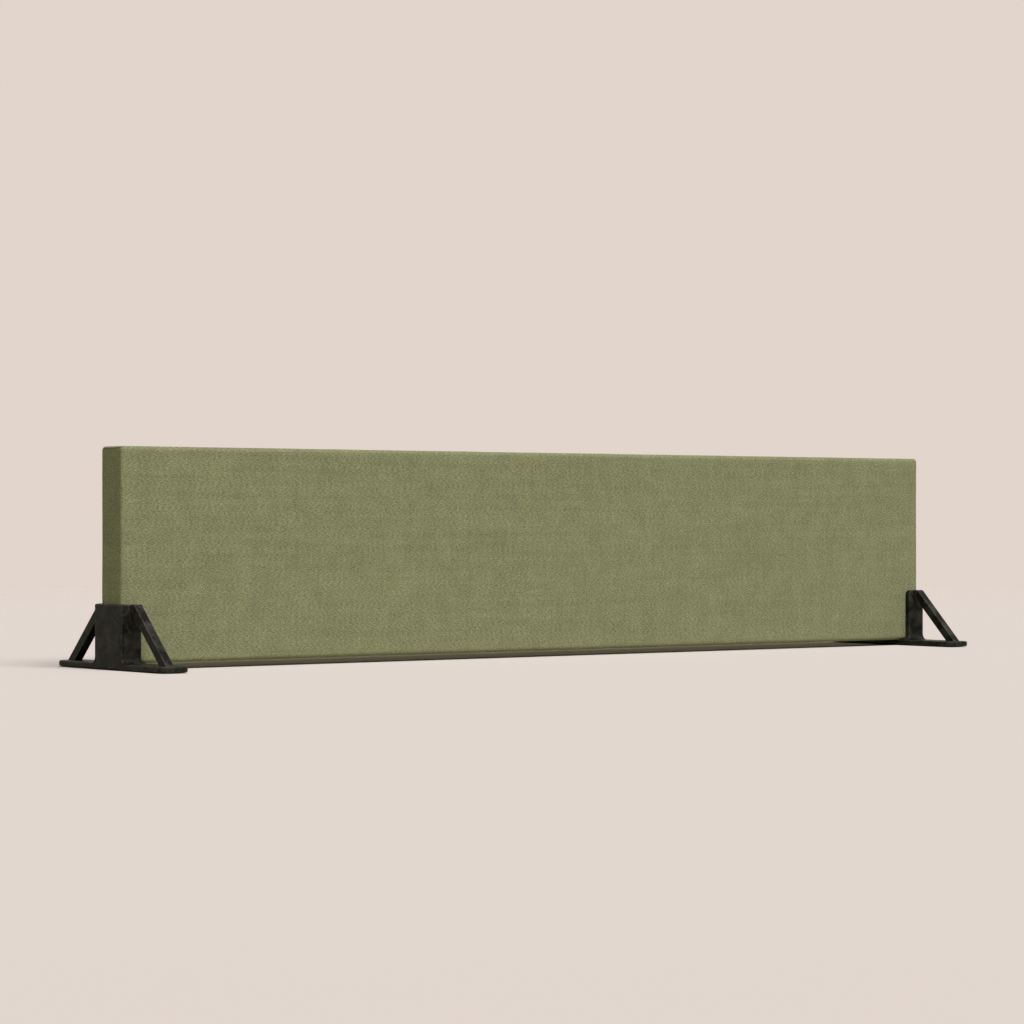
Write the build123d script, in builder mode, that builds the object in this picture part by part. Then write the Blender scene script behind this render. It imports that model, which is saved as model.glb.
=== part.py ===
from build123d import *
import os

os.makedirs("parts", exist_ok=True)

# A free-standing desk screen: a long padded panel, wrapped in cloth, that
# stands in two mirrored black feet. Millimetres, +X along the panel, -Y the
# front face, +Z up, the origin on the desk top under the middle of the panel.

# Driving sizes of the padded panel
panel_length = 1400.0
panel_height = 275.0
panel_thickness = 50.0
edge_radius = 5.0          # outside radius of every covered edge
cloth_thickness = 1.0
foam_thickness = 6.0
turn_in = 18.0             # cloth folded under the long bottom edges
end_turn_in = 20.0         # cloth folded under the two ends
strip_clearance = 0.3      # closing strip to the edges of the folded cloth

# Driving sizes of the wooden frame inside the panel
rail_height = 25.0
stile_width = 25.0
centre_stile_width = 30.0
core_clearance = 0.4       # acoustic core to the wood round it
dowel_diameter = 8.0
dowel_length = 40.0
dowel_in_rail = 18.0       # the rest of the dowel stands in the stile
dowel_pitch = 11.0
dowel_clearance = 0.1      # on the radius and at each end of the hole

# Driving sizes of one foot
pad_proud = 1.0            # rubber pad below the plate
plate_thickness = 7.5
plate_length = 266.0
plate_width = 42.0
plate_corner_radius = 13.0
foot_height = 82.5         # plate underside to the top of the upright walls
end_wall = 5.0             # wall across the end of the panel
cheek_wall = 8.0           # walls in front of and behind the panel
cheek_width = 30.0         # their width along the panel
cheek_corner_radius = 6.5  # rounded top inboard corner of each cheek
root_radius = 9.0          # flare from the upright walls into the plate
foot_edge_radius = 2.0     # softened outer edges of the moulding
seat_clearance = 0.3       # covered panel to the foot's inner faces
place_margin = 0.02        # within which an edge counts as lying at a place

# Driving sizes of the raking struts
strut_inset = 12.0         # from the foot's outer face
strut_width = 11.5
strut_flat = 11.5          # level top of the strut, out from the cheek
strut_end_margin = 11.0    # plate left over beyond the strut's toe
strut_run = 17.5           # thickness of the strut measured along the plate
strut_edge_radius = 0.8

# Driving sizes of the rubber pads
pad_length = 34.0
pad_width = 24.0
pad_corner_radius = 6.0
pad_recess = 1.0           # depth of the pad's pocket in the plate
pad_end_margin = 10.0      # pocket to the end of the plate
pad_edge_radius = 0.6

# Driving sizes of the screws that hold the panel down, and their inserts
screw_diameter = 5.0
screw_length = 20.0
screw_head_diameter = 10.0
screw_head_sink = 0.3      # head below the plate's underside
screw_hole_clearance = 0.25
screw_thread_clearance = 0.1
screw_pitch = 24.0         # between the two screws, across the panel
screw_from_end = 20.0      # from the end of the panel
screw_head_angle = 90.0
hex_socket_width = 3.0     # across its flats
hex_socket_depth = 1.8
hex_sides = 6
insert_diameter = 8.0
insert_length = 14.0

# Driving sizes of the staples
staple_crown = 10.0
staple_leg = 8.0
staple_wire = 1.0
staple_pitch = 100.0
staple_from_edge = 9.0     # crown to the panel's long bottom edge

# Levels
plate_bottom = pad_proud
plate_top = plate_bottom + plate_thickness
foot_top = plate_bottom + foot_height
panel_bottom = plate_top
panel_top = panel_bottom + panel_height
panel_middle = (panel_bottom + panel_top) / 2

# Space inside the cloth
inner_length = panel_length - 2 * cloth_thickness
inner_height = panel_height - 2 * cloth_thickness
inner_thickness = panel_thickness - 2 * cloth_thickness
inner_radius = edge_radius - cloth_thickness
inner_bottom = panel_bottom + cloth_thickness
inner_top = panel_top - cloth_thickness
frame_depth = inner_thickness - 2 * foam_thickness
frame_face = frame_depth / 2

# The padded panel's outer block and the block of filling inside the cloth,
# kept as working shapes for the pieces that are cut from them
with BuildPart() as panel_block:
    with BuildSketch(Plane.XY.offset(panel_bottom)):
        Rectangle(panel_length, panel_thickness)
    extrude(amount=panel_height)
    fillet(panel_block.edges(), radius=edge_radius)

with BuildPart() as filling_block:
    with BuildSketch(Plane.XY.offset(inner_bottom)):
        Rectangle(inner_length, inner_thickness)
    extrude(amount=inner_height)
    fillet(filling_block.edges(), radius=inner_radius)

# Staples: two rows under the bottom rail, one row in each fold of cloth
staple_row = panel_thickness / 2 - staple_from_edge
staple_run = panel_length - 2 * end_turn_in - 2 * plate_width
staple_gaps = int(staple_run // staple_pitch)
staple_places = [(place - staple_gaps / 2) * staple_pitch for place in range(staple_gaps + 1)]
staple_middle = panel_bottom + staple_leg / 2

with BuildPart() as cover_staples:
    for row in (-staple_row, staple_row):
        with BuildSketch(Plane.XZ.offset(row - staple_wire / 2)):
            with Locations([(place, staple_middle) for place in staple_places]):
                Rectangle(staple_crown, staple_leg)
            with Locations([(place, staple_middle + staple_wire) for place in staple_places]):
                Rectangle(staple_crown - 2 * staple_wire, staple_leg, mode=Mode.SUBTRACT)
        extrude(amount=staple_wire)

# Screws: two through each foot's plate, up into the bottom rail
screw_x = panel_length / 2 - screw_from_end
screw_places = [
    (side * screw_x, row * screw_pitch / 2) for side in (-1, 1) for row in (-1, 1)
]
screw_base = plate_bottom + screw_head_sink
screw_radius = screw_diameter / 2
screw_head_radius = screw_head_diameter / 2
screw_hole_radius = screw_radius + screw_hole_clearance
screw_sink_radius = screw_head_radius + screw_head_sink + screw_hole_clearance

with BuildPart() as screw:
    with BuildSketch(Plane.XY.offset(screw_base)):
        Circle(screw_radius)
    extrude(amount=screw_length)
    with BuildSketch(Plane.XZ):
        with BuildLine():
            Polyline(
                (0, screw_base),
                (screw_head_radius, screw_base),
                (screw_radius, screw_base + screw_head_radius - screw_radius),
                (0, screw_base + screw_head_radius - screw_radius),
                close=True,
            )
        make_face()
    revolve(axis=Axis.Z)
    with BuildSketch(Plane.XY.offset(screw_base)):
        RegularPolygon(hex_socket_width / 2, hex_sides, major_radius=False)
    extrude(amount=hex_socket_depth, mode=Mode.SUBTRACT)


def screw_places_at(side):
    return [place for place in screw_places if place[0] * side > 0]


with BuildPart() as left_foot_screws:
    with Locations(screw_places_at(-1)):
        add(screw.part)

with BuildPart() as right_foot_screws:
    with Locations(screw_places_at(1)):
        add(screw.part)


# Threaded inserts, pressed up into the bottom rail
def inserts_at(side):
    with BuildPart() as inserts:
        with BuildSketch(Plane.XY.offset(inner_bottom)):
            with Locations(screw_places_at(side)):
                Circle(insert_diameter / 2)
                Circle(screw_radius + screw_thread_clearance, mode=Mode.SUBTRACT)
        extrude(amount=insert_length)
    return inserts


left_foot_inserts = inserts_at(-1)
right_foot_inserts = inserts_at(1)

# Cloth cover: a thin closed skin, open under the bottom where its folded
# edges stop short of each other
slot_width = panel_thickness - 2 * turn_in
slot_length = panel_length - 2 * end_turn_in

with BuildPart() as fabric_cover:
    add(panel_block.part)
    add(filling_block.part, mode=Mode.SUBTRACT)
    with BuildSketch(Plane.XY.offset(panel_bottom)):
        Rectangle(slot_length, slot_width)
        with Locations(screw_places):
            Circle(screw_hole_radius)
    extrude(amount=cloth_thickness, mode=Mode.SUBTRACT)
    add(cover_staples.part, mode=Mode.SUBTRACT)

# Closing strip: covers the wood between the folded edges of the cloth
with BuildPart() as bottom_strip:
    with BuildSketch(Plane.XY.offset(panel_bottom)):
        Rectangle(slot_length - 2 * strip_clearance, slot_width - 2 * strip_clearance)
    extrude(amount=cloth_thickness)

# Foam sheets: one on each face of the frame, rounded where the cloth turns
with BuildPart() as front_foam:
    with BuildSketch(Plane.XZ.offset(frame_face)):
        with Locations((0, panel_middle)):
            Rectangle(panel_length, panel_height)
    extrude(amount=foam_thickness)
    add(filling_block.part, mode=Mode.INTERSECT)

with BuildPart() as back_foam:
    mirror(front_foam.part, about=Plane.XZ)

# Dowels: two at each end of every stile, standing half in the rail
bottom_rail_top = inner_bottom + rail_height
top_rail_bottom = inner_top - rail_height
end_stile_x = inner_length / 2 - stile_width / 2
lower_dowel_start = bottom_rail_top - dowel_in_rail
upper_dowel_start = top_rail_bottom + dowel_in_rail - dowel_length
dowel_places = [
    (centre + side * dowel_pitch / 2, 0)
    for centre in (-end_stile_x, 0, end_stile_x)
    for side in (-1, 1)
]

with BuildPart() as frame_dowels:
    for start in (lower_dowel_start, upper_dowel_start):
        with BuildSketch(Plane.XY.offset(start)):
            with Locations(dowel_places):
                Circle(dowel_diameter / 2)
        extrude(amount=dowel_length)

with BuildPart() as dowel_holes:
    for start in (lower_dowel_start, upper_dowel_start):
        with BuildSketch(Plane.XY.offset(start - dowel_clearance)):
            with Locations(dowel_places):
                Circle(dowel_diameter / 2 + dowel_clearance)
        extrude(amount=dowel_length + 2 * dowel_clearance)

# Rails: full length, with the panel's rounded corners at their ends
with BuildPart() as top_rail:
    with BuildSketch(Plane.XY.offset(top_rail_bottom)):
        Rectangle(panel_length, frame_depth)
    extrude(amount=rail_height)
    add(filling_block.part, mode=Mode.INTERSECT)
    add(dowel_holes.part, mode=Mode.SUBTRACT)

with BuildPart() as bottom_rail:
    with BuildSketch(Plane.XY.offset(inner_bottom)):
        Rectangle(panel_length, frame_depth)
    extrude(amount=rail_height)
    add(filling_block.part, mode=Mode.INTERSECT)
    add(dowel_holes.part, mode=Mode.SUBTRACT)
    with BuildSketch(Plane.XY.offset(inner_bottom)):
        with Locations(screw_places):
            Circle(insert_diameter / 2)
    extrude(amount=insert_length, mode=Mode.SUBTRACT)
    add(cover_staples.part, mode=Mode.SUBTRACT)


# Stiles: between the rails, at both ends and in the middle
def stile_at(centre, width):
    with BuildPart() as stile:
        with BuildSketch(Plane.XY.offset(bottom_rail_top)):
            with Locations((centre, 0)):
                Rectangle(width, frame_depth)
        extrude(amount=top_rail_bottom - bottom_rail_top)
        add(dowel_holes.part, mode=Mode.SUBTRACT)
    return stile


left_stile = stile_at(-end_stile_x, stile_width)
centre_stile = stile_at(0, centre_stile_width)
right_stile = stile_at(end_stile_x, stile_width)

# Acoustic core: one slab in each bay of the frame
bay_inner = centre_stile_width / 2
bay_outer = inner_length / 2 - stile_width
bay_length = bay_outer - bay_inner
bay_height = top_rail_bottom - bottom_rail_top


def core_at(side):
    with BuildPart() as core:
        with BuildSketch(Plane.XZ.offset(-frame_face)):
            with Locations((side * (bay_inner + bay_outer) / 2, panel_middle)):
                Rectangle(bay_length - 2 * core_clearance, bay_height - 2 * core_clearance)
        extrude(amount=frame_depth)
    return core


core_left = core_at(-1)
core_right = core_at(1)

# Places in the left foot
foot_outer_x = -(panel_length / 2 + seat_clearance + end_wall)
foot_pocket_x = foot_outer_x + end_wall
cheek_inner_x = foot_outer_x + cheek_width
cheek_centre_x = foot_outer_x + cheek_width / 2
plate_inner_x = foot_outer_x + plate_width
plate_centre_x = foot_outer_x + plate_width / 2
pocket_half = panel_thickness / 2 + seat_clearance
cheek_face = pocket_half + cheek_wall
plate_end = plate_length / 2
strut_outer_x = foot_outer_x + strut_inset
strut_toe = plate_end - strut_end_margin
strut_shoulder = cheek_face + strut_flat
strut_rake = (foot_top - plate_top) / (strut_toe - strut_shoulder)
strut_heel = strut_toe - strut_run
strut_anchor = cheek_face - foot_edge_radius
strut_under_top = plate_top + (strut_heel - strut_anchor) * strut_rake
pad_centre_y = plate_end - pad_end_margin - pad_length / 2
pad_places = [(plate_centre_x, -pad_centre_y), (plate_centre_x, pad_centre_y)]


def lies_at(value, place):
    return abs(value - place) < place_margin


# Raking struts of the left foot: one in front and one behind, each with a
# level top at the height of the cheek and a toe near the end of the plate
with BuildPart() as left_struts:
    with BuildSketch(Plane.YZ.offset(strut_outer_x)):
        for front in (-1, 1):
            with BuildLine():
                Polyline(
                    (front * strut_anchor, foot_top),
                    (front * strut_shoulder, foot_top),
                    (front * strut_toe, plate_top),
                    (front * strut_heel, plate_top),
                    (front * strut_anchor, strut_under_top),
                    close=True,
                )
            make_face()
    extrude(amount=strut_width)
    strut_arrises = (
        left_struts.edges()
        .filter_by(Axis.X, reverse=True)
        .filter_by(Axis.Z, reverse=True)
        .filter_by(lambda edge: edge.center().Z > plate_top + place_margin)
    )
    fillet(strut_arrises, radius=strut_edge_radius)

# Left foot: one moulding with a base plate, a wall across the panel's end, a
# cheek in front of and behind the panel, and the struts outside the cheeks
with BuildPart() as left_foot:
    with BuildSketch(Plane.XY.offset(plate_bottom)):
        with Locations((plate_centre_x, 0)):
            RectangleRounded(plate_width, plate_length, plate_corner_radius)
    extrude(amount=plate_thickness)
    with BuildSketch(Plane.XY.offset(plate_top)):
        with Locations((cheek_centre_x, 0)):
            Rectangle(cheek_width, 2 * cheek_face)
    extrude(amount=foot_top - plate_top)
    cheek_corners = (
        left_foot.edges()
        .filter_by(Axis.Y)
        .filter_by(lambda edge: lies_at(edge.center().Z, foot_top))
        .filter_by(lambda edge: lies_at(edge.center().X, cheek_inner_x))
    )
    fillet(cheek_corners, radius=cheek_corner_radius)
    cheek_rims = (
        left_foot.edges()
        .filter_by(lambda edge: lies_at(abs(edge.center().Y), cheek_face))
        .filter_by(lambda edge: edge.center().Z > plate_top + place_margin)
        .filter_by(lambda edge: edge.center().X > foot_outer_x + place_margin)
    )
    fillet(cheek_rims, radius=foot_edge_radius)
    upright_roots = (
        left_foot.edges()
        .filter_by(lambda edge: lies_at(edge.center().Z, plate_top))
        .filter_by(lambda edge: abs(edge.center().Y) < cheek_face + place_margin)
        .filter_by(lambda edge: foot_outer_x + place_margin < edge.center().X < cheek_inner_x + place_margin)
    )
    fillet(upright_roots, radius=root_radius)
    with BuildSketch(Plane.XY.offset(plate_top)):
        with Locations(((foot_pocket_x + plate_inner_x) / 2, 0)):
            Rectangle(plate_inner_x - foot_pocket_x, 2 * pocket_half)
    extrude(amount=foot_top - plate_top, mode=Mode.SUBTRACT)
    outer_outline = (
        left_foot.edges()
        .filter_by(lambda edge: lies_at(edge.center().X, foot_outer_x))
        .filter_by(
            lambda edge: edge.center().Z > plate_top - place_margin
            or lies_at(edge.center().Z, plate_bottom)
        )
    )
    fillet(outer_outline, radius=foot_edge_radius)
    add(left_struts.part)
    with BuildSketch(Plane.XY.offset(plate_bottom)):
        with Locations(pad_places):
            RectangleRounded(pad_width, pad_length, pad_corner_radius)
    extrude(amount=pad_recess, mode=Mode.SUBTRACT)
    with Locations(
        [Plane(origin=(x, y, plate_bottom), z_dir=(0, 0, -1)) for x, y in screw_places_at(-1)]
    ):
        CounterSinkHole(
            screw_hole_radius,
            screw_sink_radius,
            depth=plate_thickness,
            counter_sink_angle=screw_head_angle,
        )

with BuildPart() as right_foot:
    mirror(left_foot.part, about=Plane.YZ)

# Rubber pads: one near each end of a foot, pressed into its pocket
with BuildPart() as left_foot_pads:
    with BuildSketch():
        with Locations(pad_places):
            RectangleRounded(pad_width, pad_length, pad_corner_radius)
    extrude(amount=pad_proud + pad_recess)
    pad_rims = left_foot_pads.edges().filter_by(lambda edge: lies_at(edge.center().Z, 0))
    fillet(pad_rims, radius=pad_edge_radius)

with BuildPart() as right_foot_pads:
    mirror(left_foot_pads.part, about=Plane.YZ)

pieces = {
    "left_foot": left_foot,
    "right_foot": right_foot,
    "left_foot_pads": left_foot_pads,
    "right_foot_pads": right_foot_pads,
    "left_foot_screws": left_foot_screws,
    "right_foot_screws": right_foot_screws,
    "left_foot_inserts": left_foot_inserts,
    "right_foot_inserts": right_foot_inserts,
    "top_rail": top_rail,
    "bottom_rail": bottom_rail,
    "left_stile": left_stile,
    "centre_stile": centre_stile,
    "right_stile": right_stile,
    "frame_dowels": frame_dowels,
    "core_left": core_left,
    "core_right": core_right,
    "front_foam": front_foam,
    "back_foam": back_foam,
    "fabric_cover": fabric_cover,
    "bottom_strip": bottom_strip,
    "cover_staples": cover_staples,
}
for name, piece in pieces.items():
    piece.part.label = name
    export_step(piece.part, f"parts/{name}.step")
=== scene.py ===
import math

import bmesh
import bpy
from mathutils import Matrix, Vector, noise


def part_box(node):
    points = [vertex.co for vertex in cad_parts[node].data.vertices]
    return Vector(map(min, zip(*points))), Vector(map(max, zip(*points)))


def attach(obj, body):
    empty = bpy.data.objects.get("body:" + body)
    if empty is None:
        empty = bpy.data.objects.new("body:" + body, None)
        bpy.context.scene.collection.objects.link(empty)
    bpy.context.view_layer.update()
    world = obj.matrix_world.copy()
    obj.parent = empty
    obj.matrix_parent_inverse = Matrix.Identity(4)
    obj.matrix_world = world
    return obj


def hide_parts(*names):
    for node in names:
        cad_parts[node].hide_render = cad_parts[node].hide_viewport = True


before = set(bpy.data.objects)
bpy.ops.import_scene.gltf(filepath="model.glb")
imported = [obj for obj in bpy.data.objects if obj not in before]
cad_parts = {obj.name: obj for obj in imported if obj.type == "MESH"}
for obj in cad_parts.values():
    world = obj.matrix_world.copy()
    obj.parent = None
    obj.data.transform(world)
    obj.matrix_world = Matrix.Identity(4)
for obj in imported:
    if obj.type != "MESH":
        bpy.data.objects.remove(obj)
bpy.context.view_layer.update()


# The timber frame: two long rails and three short stiles of planed softwood,
# glued and dowelled into one flat frame that keeps the panel straight.
def connect(tree, sockets, node):
    for name, source in sockets.items():
        if isinstance(source, bpy.types.NodeSocket):
            tree.links.new(source, node.inputs[name])
        else:
            node.inputs[name].default_value = source


def put(tree, kind, sockets=None, **settings):
    node = tree.nodes.new(kind)
    for name, value in settings.items():
        setattr(node, name, value)
    connect(tree, sockets or {}, node)
    return node


def effect(tree, group, sockets):
    return put(tree, "ShaderNodeGroup", sockets, node_tree=group).outputs


def sum_of(tree, first, second):
    return put(tree, "ShaderNodeMath", {0: first, 1: second}, operation="ADD").outputs[0]


def product(tree, first, second):
    return put(tree, "ShaderNodeMath", {0: first, 1: second}, operation="MULTIPLY").outputs[0]


def moved(tree, place, shift):
    return put(tree, "ShaderNodeVectorMath", {0: place, 1: shift}, operation="ADD").outputs["Vector"]


def stretched(tree, place, factors):
    scaled = put(tree, "ShaderNodeVectorMath", {0: place, 1: factors}, operation="MULTIPLY")
    return scaled.outputs["Vector"]


def remapped(tree, value, old_range, new_range=(0.0, 1.0)):
    limits = {
        "Value": value,
        "From Min": old_range[0],
        "From Max": old_range[1],
        "To Min": new_range[0],
        "To Max": new_range[1],
    }
    return put(tree, "ShaderNodeMapRange", limits).outputs["Result"]


def cloud(tree, place, scale=1.0, detail=3.0, roughness=0.5, distortion=0.0):
    sockets = {
        "Vector": place,
        "Scale": scale,
        "Detail": detail,
        "Roughness": roughness,
        "Distortion": distortion,
    }
    return put(tree, "ShaderNodeTexNoise", sockets).outputs["Fac"]


def mixed(tree, factor, first, second):
    return put(tree, "ShaderNodeMix", {0: factor, 6: first, 7: second}, data_type="RGBA").outputs[2]


def relief(tree, height, strength, depth):
    bump = put(tree, "ShaderNodeBump", {"Height": height, "Strength": strength, "Distance": depth})
    return bump.outputs["Normal"]


def effect_group(name, inputs, outputs):
    group = bpy.data.node_groups.new(name, "ShaderNodeTree")
    for side, sockets in (("INPUT", inputs), ("OUTPUT", outputs)):
        for socket_name, kind in sockets.items():
            group.interface.new_socket(socket_name, in_out=side, socket_type="NodeSocket" + kind)
    return group, group.nodes.new("NodeGroupInput"), group.nodes.new("NodeGroupOutput")


def new_finish(name):
    material = bpy.data.materials.new(name)
    material.use_nodes = True
    tree = material.node_tree
    place = put(tree, "ShaderNodeTexCoord").outputs["Object"]
    return material, tree, tree.nodes["Principled BSDF"], place


def dress(node_name, material):
    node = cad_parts[node_name]
    node.data.materials.clear()
    node.data.materials.append(material)


wood_grain, wood_in, wood_out = effect_group(
    "wood_grain",
    {"Place": "Vector", "Early Wood": "Color", "Late Wood": "Color", "Ring Scale": "Float"},
    {"Colour": "Color", "Roughness": "Float", "Height": "Float"},
)
wood_place = wood_in.outputs["Place"]
early_wood = wood_in.outputs["Early Wood"]
late_wood = wood_in.outputs["Late Wood"]
pith_offset = (0.3, 0.047, -0.062)
ring_wander = 0.02
wander = cloud(wood_grain, stretched(wood_grain, wood_place, (3, 14, 14)), detail=2.0)
wandered = moved(wood_grain, wood_place, product(wood_grain, wander, ring_wander))
growth_rings = put(
    wood_grain,
    "ShaderNodeTexWave",
    {
        "Vector": moved(wood_grain, wandered, pith_offset),
        "Scale": wood_in.outputs["Ring Scale"],
        "Distortion": 0.8,
        "Detail": 2.0,
    },
    wave_type="RINGS",
    rings_direction="X",
    wave_profile="SAW",
).outputs["Fac"]
pores = cloud(wood_grain, stretched(wood_grain, wood_place, (30, 900, 900)), detail=2.0, roughness=0.6)
board_tone = cloud(wood_grain, stretched(wood_grain, wood_place, (1.5, 20, 20)), detail=1.0)
darker_board = remapped(wood_grain, board_tone, (0.35, 0.65), (0.0, 0.3))
late_share = product(wood_grain, growth_rings, remapped(wood_grain, pores, (0.3, 0.7), (0.6, 1.0)))
ring_colour = mixed(wood_grain, late_share, early_wood, late_wood)
pore_height = product(wood_grain, pores, 0.6)
ring_height = product(wood_grain, growth_rings, 0.4)
connect(
    wood_grain,
    {
        "Colour": mixed(wood_grain, darker_board, ring_colour, late_wood),
        "Roughness": remapped(wood_grain, late_share, (0.0, 1.0), (0.72, 0.55)),
        "Height": sum_of(wood_grain, pore_height, ring_height),
    },
    wood_out,
)


def wood_finish(name, turn, early, late, ring_scale):
    material, tree, shader, place = new_finish(name)
    along = put(tree, "ShaderNodeMapping", {"Vector": place, "Rotation": turn}).outputs["Vector"]
    grain = effect(
        tree,
        wood_grain,
        {"Place": along, "Early Wood": early, "Late Wood": late, "Ring Scale": ring_scale},
    )
    connect(
        tree,
        {
            "Base Color": grain["Colour"],
            "Roughness": grain["Roughness"],
            "Normal": relief(tree, grain["Height"], strength=0.4, depth=0.0004),
        },
        shader,
    )
    return material


softwood_early = (0.70, 0.52, 0.32, 1)
softwood_late = (0.47, 0.29, 0.14, 1)
lengthwise_grain = (0, 0, 0)
upright_grain = (0, math.radians(90), 0)
rail_rings = 105
stile_rings = 90
rail_wood = wood_finish("planed_softwood_rail", lengthwise_grain, softwood_early, softwood_late, rail_rings)
stile_wood = wood_finish("planed_softwood_stile", upright_grain, softwood_early, softwood_late, stile_rings)
stiles = ("left_stile", "centre_stile", "right_stile")
for rail in ("top_rail", "bottom_rail"):
    dress(rail, rail_wood)
for stile in stiles:
    dress(stile, stile_wood)


# Dowels: fluted beech pins with bevelled ends, two at each end of every
# stile, glued half into the rail and half into the stile.
def edges_of(verts):
    return list(dict.fromkeys(edge for vert in verts for edge in vert.link_edges))


def ring(bm, centre, radius, height, count, flute=0.0):
    circle = bmesh.ops.create_circle(bm, cap_ends=False, radius=radius, segments=count)["verts"]
    for vert in circle[::2]:
        vert.co *= 1 - flute / radius
    bmesh.ops.translate(bm, vec=(centre[0], centre[1], height), verts=circle)
    return edges_of(circle)


def skinned(bm, loops, closed_ends):
    for lower, upper in zip(loops, loops[1:]):
        if len(lower) == len(upper):
            bmesh.ops.bridge_loops(bm, edges=lower + upper)
        else:
            bmesh.ops.triangle_fill(bm, edges=lower + upper, normal=(0, 0, 1), use_beauty=True)
    for end in closed_ends:
        bmesh.ops.triangle_fill(bm, edges=end, normal=(0, 0, 1), use_beauty=True)


def finished_piece(name, bm, material, smooth_angle=35):
    mesh = bpy.data.meshes.new(name)
    bm.to_mesh(mesh)
    bm.free()
    mesh.shade_smooth()
    mesh.set_sharp_from_angle(angle=math.radians(smooth_angle))
    mesh.materials.append(material)
    piece = bpy.data.objects.new(name, mesh)
    bpy.context.scene.collection.objects.link(piece)
    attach(piece, "root")
    return piece


beech_early = (0.76, 0.59, 0.40, 1)
beech_late = (0.58, 0.40, 0.24, 1)
beech_rings = 230
beech = wood_finish("beech_dowel", upright_grain, beech_early, beech_late, beech_rings)
dowel_radius = 0.004
dowel_length = 0.040
dowel_in_rail = 0.018
dowel_half_pitch = 0.0055
dowel_bevel = 0.0009
flute_depth = 0.00028
flute_count = 44
dowel_outline = (
    (dowel_radius - dowel_bevel, 0),
    (dowel_radius, dowel_bevel),
    (dowel_radius, dowel_length - dowel_bevel),
    (dowel_radius - dowel_bevel, dowel_length),
)
dowels = bmesh.new()
for stile in stiles:
    low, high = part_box(stile)
    middle = (low + high) / 2
    for offset in (-dowel_half_pitch, dowel_half_pitch):
        centre = (middle.x + offset, middle.y)
        for lower_end in (low.z - dowel_in_rail, high.z + dowel_in_rail - dowel_length):
            rings = [
                ring(dowels, centre, radius, lower_end + height, flute_count, flute_depth)
                for radius, height in dowel_outline
            ]
            skinned(dowels, rings, (rings[0], rings[-1]))
bmesh.ops.recalc_face_normals(dowels, faces=dowels.faces[:])
dowel_piece = finished_piece("fluted_dowels", dowels, beech, smooth_angle=20)
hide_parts("frame_dowels")

# Threaded inserts: knurled brass sleeves, pressed up into the bottom rail so
# that the foot screws have metal to bite in.
metal_surface, metal_in, metal_out = effect_group(
    "metal_surface",
    {"Place": "Vector", "Bright": "Color", "Dull": "Color", "Grain Scale": "Float"},
    {"Colour": "Color", "Roughness": "Float", "Height": "Float"},
)
metal_place = metal_in.outputs["Place"]
along_lines = stretched(metal_surface, metal_place, (1, 1, 0.08))
drawn_lines = cloud(metal_surface, along_lines, metal_in.outputs["Grain Scale"], roughness=0.6)
tarnish = cloud(metal_surface, metal_place, 260.0, detail=4.0, roughness=0.6, distortion=0.4)
tarnish_share = remapped(metal_surface, tarnish, (0.42, 0.68), (0.0, 0.8))
tarnish_roughness = remapped(metal_surface, tarnish, (0.35, 0.7), (0.24, 0.46))
line_roughness = product(metal_surface, drawn_lines, 0.12)
connect(
    metal_surface,
    {
        "Colour": mixed(
            metal_surface, tarnish_share, metal_in.outputs["Bright"], metal_in.outputs["Dull"]
        ),
        "Roughness": sum_of(metal_surface, tarnish_roughness, line_roughness),
        "Height": drawn_lines,
    },
    metal_out,
)


def metal_finish(name, bright, dull, grain_scale):
    material, tree, shader, place = new_finish(name)
    surface = effect(
        tree,
        metal_surface,
        {"Place": place, "Bright": bright, "Dull": dull, "Grain Scale": grain_scale},
    )
    connect(
        tree,
        {
            "Base Color": surface["Colour"],
            "Metallic": 1.0,
            "Roughness": surface["Roughness"],
            "Normal": relief(tree, surface["Height"], strength=0.25, depth=0.00015),
        },
        shader,
    )
    return material


def spread(start, stop, step):
    count = max(1, round((stop - start) / step))
    return [start + (stop - start) * index / count for index in range(count + 1)]


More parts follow.
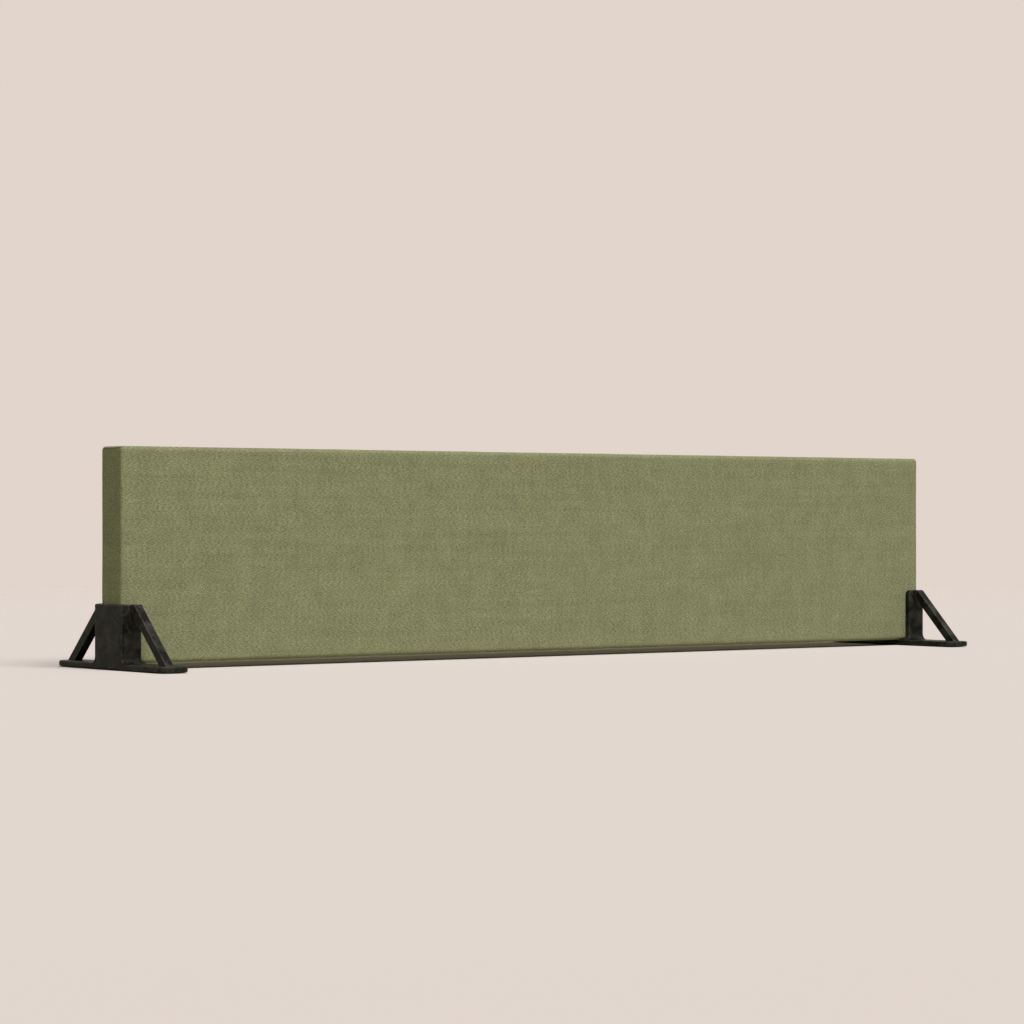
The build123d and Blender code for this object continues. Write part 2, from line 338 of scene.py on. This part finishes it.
brass = metal_finish("brass", (0.76, 0.58, 0.28, 1), (0.45, 0.30, 0.12, 1), grain_scale=2400.0)
sleeve_sides = 48
sleeve_radius = 0.004
sleeve_groove = 0.0036
sleeve_lead = 0.0037
sleeve_mouth = 0.0033
sleeve_bevel = 0.0003
sleeve_dish = 0.00005
sleeve_thread_root = 0.00295
sleeve_thread_crest = 0.0026
lead_length = 0.0010
knurl_start = 0.0014
lower_knurl_end = 0.42
groove_start = 0.46
groove_end = 0.54
upper_knurl_start = 0.58
knurl_depth = 0.00018
thread_pitch = 0.0008
for side in ("left", "right"):
    low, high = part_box(side + "_foot_inserts")
    length = high.z - low.z
    outline = [
        (sleeve_mouth, sleeve_dish, 0),
        (sleeve_lead, 0, 0),
        (sleeve_lead, lead_length, 0),
        (sleeve_radius, knurl_start, knurl_depth),
        (sleeve_radius, length * lower_knurl_end, knurl_depth),
        (sleeve_groove, length * groove_start, 0),
        (sleeve_groove, length * groove_end, 0),
        (sleeve_radius, length * upper_knurl_start, knurl_depth),
        (sleeve_radius, length - knurl_start, knurl_depth),
        (sleeve_lead, length - lead_length, 0),
        (sleeve_lead, length, 0),
        (sleeve_mouth, length - sleeve_dish, 0),
    ]
    bore_levels = spread(length - sleeve_bevel, sleeve_bevel, -thread_pitch / 2)
    for index, level in enumerate(bore_levels):
        outline.append((sleeve_thread_crest if index % 2 else sleeve_thread_root, level, 0))
    sleeves = bmesh.new()
    for row in (low.y + sleeve_radius, high.y - sleeve_radius):
        centre = ((low.x + high.x) / 2, row)
        rings = [
            ring(sleeves, centre, radius, low.z + height, sleeve_sides, flute)
            for radius, height, flute in outline
        ]
        skinned(sleeves, rings + rings[:1], ())
    bmesh.ops.recalc_face_normals(sleeves, faces=sleeves.faces[:])
    sleeve_piece = finished_piece("threaded_sleeves_" + side, sleeves, brass, smooth_angle=25)
    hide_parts(side + "_foot_inserts")

# Acoustic cores: boards of compressed mineral fibre, cut to fill the two bays
# of the frame, where they soak up sound.
matted_fibre, fibre_in, fibre_out = effect_group(
    "matted_fibre",
    {"Place": "Vector", "Pale": "Color", "Deep": "Color", "Cell Scale": "Float"},
    {"Colour": "Color", "Height": "Float"},
)
fibre_place = fibre_in.outputs["Place"]
strands = cloud(
    matted_fibre, fibre_place, fibre_in.outputs["Cell Scale"], detail=5.0, roughness=0.7, distortion=1.4
)
mats = cloud(matted_fibre, fibre_place, 45.0, roughness=0.6)
strand_shade = remapped(matted_fibre, strands, (0.3, 0.7), (0.0, 0.75))
mat_shade = remapped(matted_fibre, mats, (0.35, 0.65), (0.0, 0.25))
fibre_shade = sum_of(matted_fibre, strand_shade, mat_shade)
connect(
    matted_fibre,
    {
        "Colour": mixed(matted_fibre, fibre_shade, fibre_in.outputs["Deep"], fibre_in.outputs["Pale"]),
        "Height": strands,
    },
    fibre_out,
)


def fibre_finish(name, pale, deep, cell_scale, depth):
    material, tree, shader, place = new_finish(name)
    mat = effect(
        tree, matted_fibre, {"Place": place, "Pale": pale, "Deep": deep, "Cell Scale": cell_scale}
    )
    connect(
        tree,
        {
            "Base Color": mat["Colour"],
            "Roughness": 0.95,
            "Normal": relief(tree, mat["Height"], strength=0.7, depth=depth),
        },
        shader,
    )
    return material


def block_between(low, high):
    bm = bmesh.new()
    bmesh.ops.create_cube(bm, size=1)
    bmesh.ops.scale(bm, vec=high - low, verts=bm.verts)
    bmesh.ops.translate(bm, vec=(low + high) / 2, verts=bm.verts)
    return bm


def round_over(bm, edges, rounding, segments):
    bmesh.ops.bevel(
        bm, geom=edges, offset=rounding, segments=segments, profile=0.5, affect="EDGES", material=-1
    )


def score(bm, axis, places):
    normal = Vector((float(axis == "x"), float(axis == "y"), float(axis == "z")))
    for place in places:
        whole = bm.verts[:] + bm.edges[:] + bm.faces[:]
        bmesh.ops.bisect_plane(bm, geom=whole, plane_co=normal * place, plane_no=normal, dist=1e-6)


def uneven(depth, spot, scale):
    return depth * (0.5 + 0.5 * noise.noise(spot * scale))


core_pale = (0.68, 0.65, 0.53, 1)
core_deep = (0.40, 0.37, 0.27, 1)
core_finish = fibre_finish("compressed_fibre", core_pale, core_deep, cell_scale=520.0, depth=0.0012)
core_edge_rounding = 0.0022
core_grid = 0.014
core_grid_margin = 0.005
core_hollow = 0.0007
core_hollow_scale = 28
for side in ("left", "right"):
    low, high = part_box("core_" + side)
    board = block_between(low, high)
    round_over(board, board.edges[:], core_edge_rounding, segments=2)
    score(board, "x", spread(low.x + core_grid_margin, high.x - core_grid_margin, core_grid))
    score(board, "z", spread(low.z + core_grid_margin, high.z - core_grid_margin, core_grid))
    middle = (low.y + high.y) / 2
    for vert in board.verts:
        hollow = uneven(core_hollow, vert.co, core_hollow_scale)
        vert.co.y -= math.copysign(hollow, vert.co.y - middle)
    slab = finished_piece("core_slab_" + side, board, core_finish)
    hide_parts("core_" + side)

# Foam sheets: soft open-cell foam glued over each face of the frame, rounded
# where the cloth turns the panel's corners.
foam_pale = (0.82, 0.80, 0.72, 1)
foam_deep = (0.58, 0.55, 0.45, 1)
foam_finish = fibre_finish("open_cell_foam", foam_pale, foam_deep, cell_scale=900.0, depth=0.0006)
foam_rounding = 0.0032
foam_grid = 0.018
foam_grid_margin = 0.006
foam_dimple = 0.0005
foam_dimple_scale = 35
dimpled_share = 0.8
for side, outward in (("front", -1), ("back", 1)):
    low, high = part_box(side + "_foam")
    thickness = high.y - low.y
    glued_face = high.y if outward < 0 else low.y
    sheet = block_between(low, high)
    wrapped_edges = [
        edge
        for edge in sheet.edges
        if any(abs(vert.co.y - glued_face) > thickness / 2 for vert in edge.verts)
    ]
    round_over(sheet, wrapped_edges, foam_rounding, segments=4)
    score(sheet, "x", spread(low.x + foam_grid_margin, high.x - foam_grid_margin, foam_grid))
    score(sheet, "z", spread(low.z + foam_grid_margin, high.z - foam_grid_margin, foam_grid))
    for vert in sheet.verts:
        if (vert.co.y - glued_face) * outward > thickness * dimpled_share:
            vert.co.y -= outward * uneven(foam_dimple, vert.co, foam_dimple_scale)
    pad = finished_piece(side + "_foam_pad", sheet, foam_finish)
    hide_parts(side + "_foam")

# The cover: one piece of sage green cloth pulled tight round the panel,
# parcel-folded at the ends and stapled under the bottom rail.
woven_cloth, woven_in, woven_out = effect_group(
    "woven_cloth",
    {
        "Place": "Vector",
        "Pale": "Color",
        "Deep": "Color",
        "Yarns Per Metre": "Float",
        "Floats Per Metre": "Float",
        "Fuzz": "Float",
    },
    {"Colour": "Color", "Roughness": "Float", "Height": "Float"},
)


def calculated(tree, operation, value):
    return put(tree, "ShaderNodeMath", {0: value}, operation=operation).outputs[0]


woven_place = woven_in.outputs["Place"]
yarn_bend = 0.005
slub_shift = 2.6
weave_share = 0.42
flow = cloud(woven_cloth, woven_place, 90.0, roughness=0.6)
bent = moved(woven_cloth, woven_place, product(woven_cloth, flow, yarn_bend))
on_cloth = put(woven_cloth, "ShaderNodeSeparateXYZ", {"Vector": bent}).outputs
yarn_count = product(woven_cloth, on_cloth["Y"], woven_in.outputs["Yarns Per Metre"])
yarn_number = calculated(woven_cloth, "FLOOR", yarn_count)
across_yarn = calculated(woven_cloth, "FRACT", yarn_count)
yarn_start = put(woven_cloth, "ShaderNodeTexWhiteNoise", {"W": yarn_number}, noise_dimensions="1D")
slubs = cloud(woven_cloth, stretched(woven_cloth, woven_place, (150, 800, 150)), roughness=0.65)
turns = sum_of(
    woven_cloth,
    product(woven_cloth, on_cloth["X"], woven_in.outputs["Floats Per Metre"]),
    sum_of(woven_cloth, yarn_start.outputs["Value"], product(woven_cloth, slubs, slub_shift)),
)
rise = calculated(woven_cloth, "SINE", product(woven_cloth, turns, math.tau))
over_under = remapped(woven_cloth, rise, (-1.0, 1.0))
roundness = calculated(woven_cloth, "SINE", product(woven_cloth, across_yarn, math.pi))
along_fibres = stretched(woven_cloth, woven_place, (350, 980, 350))
fibres = cloud(woven_cloth, along_fibres, roughness=0.7, distortion=0.4)
crepe = sum_of(
    woven_cloth,
    product(woven_cloth, over_under, product(woven_cloth, roundness, weave_share)),
    product(woven_cloth, remapped(woven_cloth, fibres, (0.30, 0.70)), woven_in.outputs["Fuzz"]),
)
connect(
    woven_cloth,
    {
        "Colour": mixed(woven_cloth, crepe, woven_in.outputs["Deep"], woven_in.outputs["Pale"]),
        "Roughness": remapped(woven_cloth, crepe, (0.0, 1.0), (0.95, 0.82)),
        "Height": crepe,
    },
    woven_out,
)

cover_cloth, tree, shader, place = new_finish("sage_cloth")
along_cloth = put(tree, "ShaderNodeUVMap", uv_map="cloth").outputs["UV"]
weft_bars = cloud(tree, stretched(tree, along_cloth, (4, 115, 1)), roughness=0.55)
warp_bars = cloud(tree, stretched(tree, along_cloth, (125, 5, 1)), roughness=0.55)
barring = sum_of(
    tree,
    remapped(tree, weft_bars, (0.3, 0.7), (0.11, 0.39)),
    remapped(tree, warp_bars, (0.3, 0.7), (0.14, 0.36)),
)
blotches = cloud(tree, place, 34.0, detail=4.0, roughness=0.6)
toning = sum_of(tree, barring, remapped(tree, blotches, (0.3, 0.7), (-0.20, 0.20)))
greying = remapped(tree, cloud(tree, place, 40.0, roughness=0.6), (0.35, 0.65))
faded_yarn = mixed(tree, greying, (0.394, 0.395, 0.215, 1), (0.394, 0.397, 0.229, 1))
fresh_yarn = mixed(tree, greying, (0.264, 0.268, 0.146, 1), (0.264, 0.270, 0.158, 1))
weave = effect(
    tree,
    woven_cloth,
    {
        "Place": along_cloth,
        "Pale": mixed(tree, toning, fresh_yarn, faded_yarn),
        "Deep": mixed(tree, toning, (0.058, 0.062, 0.030, 1), (0.088, 0.093, 0.046, 1)),
        "Yarns Per Metre": 800.0,
        "Floats Per Metre": 115.0,
        "Fuzz": 0.75,
    },
)
connect(
    tree,
    {
        "Base Color": weave["Colour"],
        "Roughness": weave["Roughness"],
        "Normal": relief(tree, weave["Height"], strength=0.5, depth=0.0008),
        "Sheen Weight": 0.08,
        "Sheen Roughness": 0.45,
        "Specular IOR Level": 0.25,
    },
    shader,
)

cover_low, cover_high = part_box("fabric_cover")
long_edge_rounding = 0.0055
end_edge_rounding = 0.0033
cloth_thickness = 0.001
cloth_grid = 0.0075
cloth_grid_margin = 0.010
lower_grid_margin = 0.008
outer_line = 0.0155
line_pitch = 0.0052
slot_half = 0.007
end_fold = 0.020
slot_end = cover_high.x - end_fold
screw_hole = 0.00275
hole_slack = 1.1
screw_row = 0.012
tuck_drop = 0.0024
tuck_width = 0.0010
tuck_depth = 0.0014


def runs_lengthwise(edge):
    return abs(edge.verts[0].co.x - edge.verts[1].co.x) > cloth_grid


def meets(value, target):
    return abs(value - target) < 1e-5


cover = block_between(cover_low, cover_high)
long_edges = [edge for edge in cover.edges if runs_lengthwise(edge)]
round_over(cover, long_edges, long_edge_rounding, segments=5)
end_outlines = [edge for edge in cover.edges if not runs_lengthwise(edge)]
round_over(cover, end_outlines, end_edge_rounding, segments=4)
long_lines = spread(-outer_line, outer_line, line_pitch)
score(cover, "y", long_lines + [-screw_row, screw_row, -slot_half, slot_half])
girth_lines = spread(cover_low.x + cloth_grid_margin, cover_high.x - cloth_grid_margin, cloth_grid)
score(cover, "x", girth_lines + [-slot_end, slot_end])
level_lines = spread(cover_low.z + lower_grid_margin, cover_high.z - cloth_grid_margin, cloth_grid)
tuck_lines = [cover_high.z - tuck_drop + shift for shift in (-tuck_width, 0, tuck_width)]
score(cover, "z", level_lines + tuck_lines)
bottom_slot = []
for face in cover.faces:
    middle = face.calc_center_median()
    if meets(middle.z, cover_low.z) and abs(middle.y) < slot_half and abs(middle.x) < slot_end:
        bottom_slot.append(face)
bmesh.ops.delete(cover, geom=bottom_slot, context="FACES")
hole_centres = [
    vert
    for vert in cover.verts
    if meets(vert.co.z, cover_low.z)
    and meets(abs(vert.co.x), slot_end)
    and meets(abs(vert.co.y), screw_row)
]
holes = bmesh.ops.bevel(
    cover, geom=hole_centres, offset=screw_hole, segments=2, profile=0.5, affect="VERTICES", material=-1
)
punched = []
for face in holes["faces"]:
    middle = face.calc_center_median()
    if all((vert.co - middle).length < screw_hole * hole_slack for vert in face.verts):
        punched.append(face)
bmesh.ops.delete(cover, geom=punched, context="FACES")

staple_row = 0.016
staple_pitch = 0.100
staple_dent = 0.0004
dent_reach = 0.016
dent_narrowing = 2.5
clamped_length = 0.035
clamped_height = 0.078
fullness = 0.0005
fullness_run = 0.12
ripple = 0.00022
ripple_scale = 16
fine_ripple = 0.00011
fine_ripple_scale = 55
raw_edge_waver = 0.0004
raw_edge_scale = 60
mostly = 0.5
squarely = 0.8
cover.normal_update()
shifts = {}
for vert in cover.verts:
    spot = vert.co
    outward = vert.normal
    from_end = cover_high.x - abs(spot.x)
    clamped = from_end < clamped_length and spot.z < cover_low.z + clamped_height
    free = 0.0 if clamped else 1.0
    up = (spot.z - cover_low.z) / (cover_high.z - cover_low.z)
    crown = fullness * math.sin(math.pi * up) * min(1.0, from_end / fullness_run)
    waver = ripple * noise.noise(spot * ripple_scale)
    waver += fine_ripple * noise.noise(spot * fine_ripple_scale)
    shift = Vector((0, 0, 0))
    if abs(outward.y) > mostly:
        shift += outward * (crown + waver) * free
    elif outward.z > mostly or abs(outward.x) > mostly:
        shift += outward * waver * free
    if abs(outward.x) > squarely and meets(spot.z, cover_high.z - tuck_drop):
        shift.x -= math.copysign(tuck_depth, spot.x)
    if outward.z < -squarely:
        past_staple = ((spot.x / staple_pitch + 0.5) % 1.0 - 0.5) * staple_pitch
        from_staple = math.hypot(past_staple, (abs(spot.y) - staple_row) * dent_narrowing)
        shift.z += staple_dent * max(0.0, 1.0 - from_staple / dent_reach)
        if meets(abs(spot.y), slot_half) and abs(spot.x) < slot_end:
            shift.y += math.copysign(raw_edge_waver, spot.y) * noise.noise(spot * raw_edge_scale)
    shifts[vert] = shift
for vert, shift in shifts.items():
    vert.co += shift

pattern_jump = 0.2
cloth_map = cover.loops.layers.uv.new("cloth")
for face in cover.faces:
    normal = face.normal
    for loop in face.loops:
        spot = loop.vert.co
        if abs(normal.y) >= max(abs(normal.x), abs(normal.z)):
            loop[cloth_map].uv = (spot.x, spot.z)
        elif abs(normal.x) >= abs(normal.z):
            loop[cloth_map].uv = (math.copysign(cover_high.x, spot.x) + spot.y, spot.z)
        else:
            loop[cloth_map].uv = (spot.x, math.copysign(pattern_jump, normal.z) + spot.y)
cover_piece = finished_piece("cloth_cover", cover, cover_cloth, smooth_angle=60)
skin = cover_piece.modifiers.new("cloth_thickness", "SOLIDIFY")
skin.thickness = cloth_thickness
skin.offset = -1
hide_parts("fabric_cover")

# Staples: galvanised wire, shot through the folded cloth into the bottom
# rail in two rows.
wire_bright = (0.62, 0.62, 0.61, 1)
wire_dull = (0.36, 0.36, 0.35, 1)
staple_wire = metal_finish("galvanised_wire", wire_bright, wire_dull, grain_scale=3000.0)
dress("cover_staples", staple_wire)

# Closing strip: black woven tape, glued along the bottom rail between the two
# folded edges of the cloth.
tape_finish, tree, shader, place = new_finish("black_tape")
tape_weave = effect(
    tree,
    woven_cloth,
    {
        "Place": place,
        "Pale": (0.060, 0.058, 0.054, 1),
        "Deep": (0.012, 0.012, 0.011, 1),
        "Yarns Per Metre": 1100.0,
        "Floats Per Metre": 420.0,
        "Fuzz": 0.35,
    },
)
connect(
    tree,
    {
        "Base Color": tape_weave["Colour"],
        "Roughness": tape_weave["Roughness"],
        "Normal": relief(tree, tape_weave["Height"], strength=0.6, depth=0.0004),
    },
    shader,
)
low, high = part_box("bottom_strip")
tape_edge = 0.00025
tape_sag = 0.00015
tape_sag_scale = 40
tape_long_grid = 0.012
tape_long_margin = 0.004
tape_cross_grid = 0.003
tape_cross_margin = 0.002
tape = block_between(low, high)
round_over(tape, tape.edges[:], tape_edge, segments=2)
score(tape, "x", spread(low.x + tape_long_margin, high.x - tape_long_margin, tape_long_grid))
score(tape, "y", spread(low.y + tape_cross_margin, high.y - tape_cross_margin, tape_cross_grid))
for vert in tape.verts:
    if vert.co.z < (low.z + high.z) / 2:
        vert.co.z += uneven(tape_sag, vert.co, tape_sag_scale)
tape_piece = finished_piece("closing_tape", tape, tape_finish)
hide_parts("bottom_strip")

# The feet: each a single moulding in satin black glass-filled nylon, with a
# cradle that clasps the panel's lower end and a raking strut either side.
moulded_surface, moulded_in, moulded_out = effect_group(
    "moulded_surface",
    {"Place": "Vector", "Dark": "Color", "Cloudy": "Color", "Cloud Scale": "Float", "Grain Scale": "Float"},
    {"Colour": "Color", "Roughness": "Float", "Height": "Float"},
)
moulded = moulded_in.outputs
clouds = cloud(
    moulded_surface, moulded["Place"], moulded["Cloud Scale"], detail=4.0, roughness=0.6, distortion=0.5
)
cloud_share = remapped(moulded_surface, clouds, (0.40, 0.72))
cloud_roughness = remapped(moulded_surface, cloud_share, (0.0, 1.0), (0.36, 0.50))
spark_grain = cloud(moulded_surface, moulded["Place"], moulded["Grain Scale"], detail=2.0)
grain_roughness = product(moulded_surface, spark_grain, 0.12)
connect(
    moulded_surface,
    {
        "Colour": mixed(moulded_surface, cloud_share, moulded["Dark"], moulded["Cloudy"]),
        "Roughness": sum_of(moulded_surface, cloud_roughness, grain_roughness),
        "Height": spark_grain,
    },
    moulded_out,
)
# Edge mask from the bevel: lightens the rounded edges of the feet, partly rubbed nylon and partly a painted
# highlight along the edges.
edge_wear_and_highlight, wear_and_highlight_in, wear_and_highlight_out = effect_group("edge_wear_and_highlight", {"Radius": "Float"}, {"Mask": "Float"})
softened = put(edge_wear_and_highlight, "ShaderNodeBevel", {"Radius": wear_and_highlight_in.outputs["Radius"]}, samples=4)
true_normal = put(edge_wear_and_highlight, "ShaderNodeNewGeometry").outputs["Normal"]
alike = put(
    edge_wear_and_highlight,
    "ShaderNodeVectorMath",
    {0: softened.outputs["Normal"], 1: true_normal},
    operation="DOT_PRODUCT",
).outputs["Value"]
connect(edge_wear_and_highlight, {"Mask": remapped(edge_wear_and_highlight, alike, (0.99, 0.84))}, wear_and_highlight_out)

foot_finish, tree, shader, place = new_finish("satin_black_nylon")
moulding = effect(
    tree,
    moulded_surface,
    {
        "Place": place,
        "Dark": (0.0026, 0.0025, 0.0022, 1),
        "Cloudy": (0.0385, 0.0368, 0.0310, 1),
        "Cloud Scale": 62.0,
        "Grain Scale": 1800.0,
    },
)
# Pale colour laid on the rounded edges: rubbed nylon and painted highlight together.
rubbed_and_highlit_nylon = (0.150, 0.144, 0.134, 1)
wear_and_highlight = effect(tree, edge_wear_and_highlight, {"Radius": 0.0024})
wear_and_highlight_patches = remapped(tree, cloud(tree, place, 140.0), (0.4, 0.6), (0.2, 0.8))
scuffed_and_highlit = product(tree, wear_and_highlight["Mask"], wear_and_highlight_patches)
connect(
    tree,
    {
        "Base Color": mixed(tree, scuffed_and_highlit, moulding["Colour"], rubbed_and_highlit_nylon),
        "Roughness": moulding["Roughness"],
        "Normal": relief(tree, moulding["Height"], strength=0.25, depth=0.0003),
        "Specular IOR Level": 0.12,
    },
    shader,
)
dress("left_foot", foot_finish)
dress("right_foot", foot_finish)

# Foot pads: soft rubber, pressed into shallow pockets under each plate so
# that the screen does not slide.
pad_finish, tree, shader, place = new_finish("soft_rubber")
rubber = effect(
    tree,
    moulded_surface,
    {
        "Place": place,
        "Dark": (0.018, 0.018, 0.018, 1),
        "Cloudy": (0.040, 0.039, 0.037, 1),
        "Cloud Scale": 120.0,
        "Grain Scale": 1100.0,
    },
)
connect(
    tree,
    {
        "Base Color": rubber["Colour"],
        "Roughness": remapped(tree, rubber["Roughness"], (0.35, 0.65), (0.75, 0.92)),
        "Normal": relief(tree, rubber["Height"], strength=0.5, depth=0.0005),
    },
    shader,
)
dress("left_foot_pads", pad_finish)
dress("right_foot_pads", pad_finish)

# Foot screws: countersunk steel with a hexagon socket, a rolled thread and a
# bright zinc plating, driven up through each plate into the inserts.
screw_sides = 48
thread_run_in = 1.3
spare_turns = 2


def added_since(bm, before):
    return [vert for vert in bm.verts if vert not in before]


def threaded_wall(bm, centre, start, end, root, crest):
    before = set(bm.verts)
    turns = math.ceil((end - start) / thread_pitch) + spare_turns
    foot = start - thread_run_in * thread_pitch
    profile = []
    for half_turn in range(2 * turns + 1):
        radius = crest if half_turn % 2 else root
        height = foot + half_turn * thread_pitch / 2
        profile.append(bm.verts.new((centre[0] + radius, centre[1], height)))
    flanks = [bm.edges.new(pair) for pair in zip(profile, profile[1:])]
    bmesh.ops.spin(
        bm,
        geom=profile + flanks,
        cent=(centre[0], centre[1], 0),
        axis=(0, 0, 1),
        dvec=(0, 0, thread_pitch / screw_sides),
        angle=math.tau,
        steps=screw_sides,
        use_merge=False,
    )
    bmesh.ops.remove_doubles(bm, verts=added_since(bm, before), dist=1e-6)
    for level, above in ((start, False), (end, True)):
        wall = added_since(bm, before)
        faces = list(dict.fromkeys(face for vert in wall for face in vert.link_faces))
        bmesh.ops.bisect_plane(
            bm,
            geom=wall + edges_of(wall) + faces,
            plane_co=(0, 0, level),
            plane_no=(0, 0, 1),
            dist=1e-7,
            clear_outer=above,
            clear_inner=not above,
        )
    rims = [edge for edge in edges_of(added_since(bm, before)) if edge.is_boundary]
    lower = [edge for edge in rims if edge.verts[0].co.z < (start + end) / 2]
    upper = [edge for edge in rims if edge.verts[0].co.z > (start + end) / 2]
    return lower, upper


zinc_bright = (0.66, 0.66, 0.68, 1)
zinc_dull = (0.40, 0.41, 0.43, 1)
zinc_plate = metal_finish("zinc_plate", zinc_bright, zinc_dull, grain_scale=2600.0)
head_radius = 0.005
head_edge = 0.00015
shank_radius = 0.0025
plain_shank = 0.0006
thread_crest = 0.00245
thread_core = 0.00205
point_length = 0.0013
point_taper = 0.3
socket_sides = 6
socket_radius = 0.00173
socket_depth = 0.0018
for side in ("left", "right"):
    low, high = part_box(side + "_foot_screws")
    screws = bmesh.new()
    for row in (low.y + head_radius, high.y - head_radius):
        centre = ((low.x + high.x) / 2, row)
        cone_end = low.z + head_edge + head_radius - shank_radius
        thread_start = cone_end + plain_shank
        lower, upper = threaded_wall(screws, centre, thread_start, high.z, thread_core, thread_crest)
        for vert in screws.verts:
            into_point = 1 - (high.z - vert.co.z) / point_length
            if into_point > 0 and abs(vert.co.y - centre[1]) < head_radius:
                vert.co.x += (centre[0] - vert.co.x) * point_taper * into_point
                vert.co.y += (centre[1] - vert.co.y) * point_taper * into_point
        socket_floor = ring(screws, centre, socket_radius, low.z + socket_depth, socket_sides)
        socket_rim = ring(screws, centre, socket_radius, low.z, socket_sides)
        head = [
            ring(screws, centre, head_radius - head_edge, low.z, screw_sides),
            ring(screws, centre, head_radius, low.z + head_edge, screw_sides),
            ring(screws, centre, shank_radius, cone_end, screw_sides),
            ring(screws, centre, shank_radius, thread_start, screw_sides),
        ]
        skinned(screws, [socket_floor, socket_rim] + head + [lower], (socket_floor, upper))
    bmesh.ops.recalc_face_normals(screws, faces=screws.faces[:])
    screw_piece = finished_piece("countersunk_screws_" + side, screws, zinc_plate, smooth_angle=25)
    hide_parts(side + "_foot_screws")

# The table top and the backdrop: one plain pale surface, which fades into
# the same pale colour behind.
backdrop_colour = (0.755, 0.664, 0.602, 1)
seen_floor = (0.633, 0.567, 0.556, 1)
lit_floor = (0.385, 0.368, 0.262, 1)
floor_radius = 9.0
floor_sides = 96
fade_start = 2.4
fade_end = 5.0
floor_mesh = bmesh.new()
bmesh.ops.create_circle(floor_mesh, cap_ends=True, radius=floor_radius, segments=floor_sides)
floor_data = bpy.data.meshes.new("table_top")
floor_mesh.to_mesh(floor_data)
floor_mesh.free()
floor_finish, tree, shader, place = new_finish("pale_table")
floor_rays = put(tree, "ShaderNodeLightPath")
floor_colour = mixed(tree, floor_rays.outputs["Is Camera Ray"], lit_floor, seen_floor)
connect(tree, {"Base Color": floor_colour, "Roughness": 0.9, "Specular IOR Level": 0.1}, shader)
from_middle = put(tree, "ShaderNodeVectorMath", {0: place}, operation="LENGTH").outputs["Value"]
clear = put(tree, "ShaderNodeBsdfTransparent")
fading = put(
    tree,
    "ShaderNodeMixShader",
    {
        0: remapped(tree, from_middle, (fade_start, fade_end)),
        1: shader.outputs["BSDF"],
        2: clear.outputs["BSDF"],
    },
)
connect(tree, {"Surface": fading.outputs["Shader"]}, tree.nodes["Material Output"])
floor_data.materials.append(floor_finish)
floor = bpy.data.objects.new("table_top", floor_data)
bpy.context.scene.collection.objects.link(floor)

# Light: one wide soft key from the front and above, in an even dim room
# that shows the plain backdrop.
room_light = (0.146, 0.146, 0.079, 1)
key_energy = 4.09
key_colour = (1.0, 0.995, 0.985)
key_softness = 40
key_height = 54
key_to_the_right = -6
key_data = bpy.data.lights.new("soft_key", "SUN")
key_data.energy = key_energy
key_data.color = key_colour
key_data.angle = math.radians(key_softness)
key = bpy.data.objects.new("soft_key", key_data)
bpy.context.scene.collection.objects.link(key)
key.rotation_euler = (math.radians(90 - key_height), 0, math.radians(key_to_the_right))

room = bpy.data.worlds.new("room")
bpy.context.scene.world = room
room.use_nodes = True
tree = room.node_tree
rays = put(tree, "ShaderNodeLightPath").outputs
mirrored = sum_of(tree, rays["Is Glossy Ray"], rays["Is Transmission Ray"])
seen = sum_of(tree, rays["Is Camera Ray"], mirrored)
seen_share = put(tree, "ShaderNodeMath", {0: seen, 1: 1.0}, operation="MINIMUM").outputs[0]
room_colour = mixed(tree, seen_share, room_light, backdrop_colour)
connect(tree, {"Color": room_colour}, tree.nodes["Background"])

# Camera: level, just above the table, looking along the panel from its left
# front corner.
image_size = 1024
focal_pixels = 3200.0
horizon_row = 520.95
eye = (-2.7665, -3.5190, 0.1888)
turned_right = 37.56
camera_data = bpy.data.cameras.new("camera")
camera_data.sensor_width = 36
camera_data.lens = focal_pixels / image_size * camera_data.sensor_width
camera_data.shift_y = (horizon_row - image_size / 2) / image_size
camera_data.clip_end = 50
camera = bpy.data.objects.new("camera", camera_data)
bpy.context.scene.collection.objects.link(camera)
camera.location = eye
camera.rotation_euler = (math.radians(90), 0, -math.radians(turned_right))
bpy.context.scene.camera = camera
bpy.context.scene.view_settings.view_transform = "Standard"
